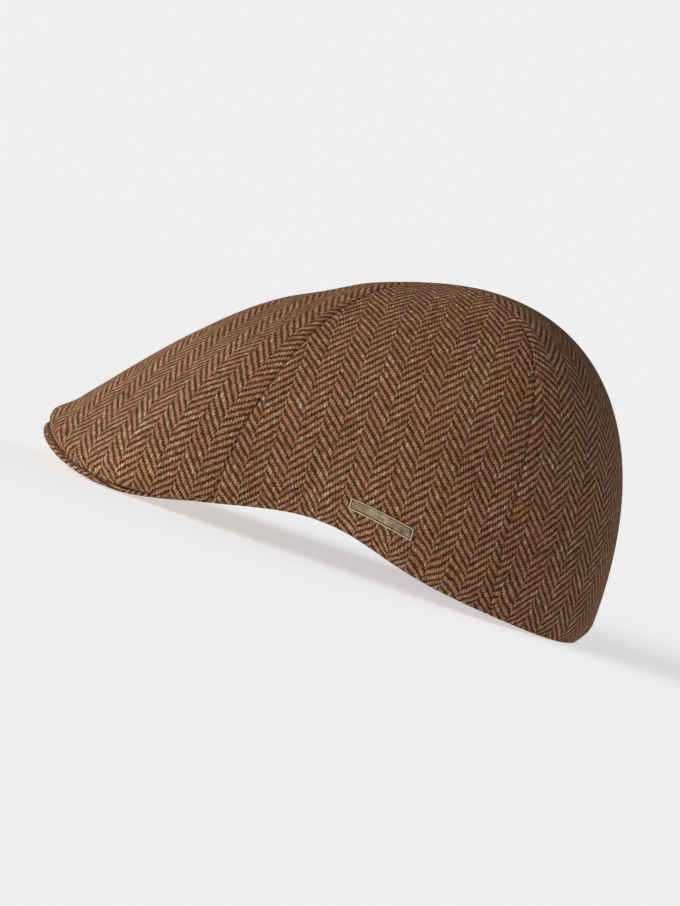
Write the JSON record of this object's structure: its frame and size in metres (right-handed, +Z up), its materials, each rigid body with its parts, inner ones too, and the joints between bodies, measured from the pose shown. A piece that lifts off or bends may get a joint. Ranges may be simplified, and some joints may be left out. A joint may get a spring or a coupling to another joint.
{
  "type": "flat cap",
  "caption": "Duckbill flat cap in brown herringbone wool cloth, with curved panels sewn to a top point, a short covered peak and a small bare metal plate near the rim.",
  "frame": {"origin": "middle of the cap's footprint, on the surface that it rests on", "axes": "+Y from the peak to the back of the head, +X to the wearer's left, +Z up"},
  "size_m": [0.1782, 0.2771, 0.1439],
  "materials": {
    "tweed": "brushed wool herringbone tweed, matt with a fine fuzz",
    "peak_tweed": "the same wool tweed drawn over a stiff board, matt",
    "plate_brass": "aged satin brass with worn bright edges, bare"
  },
  "bodies": {
    "root": {"front_panel_left": "tweed", "front_panel_right": "tweed", "side_panel_left": "tweed", "side_panel_right": "tweed", "back_panel_left": "tweed", "back_panel_right": "tweed", "peak": "peak_tweed", "metal_plate": "plate_brass"}
  },
  "joints": []
}
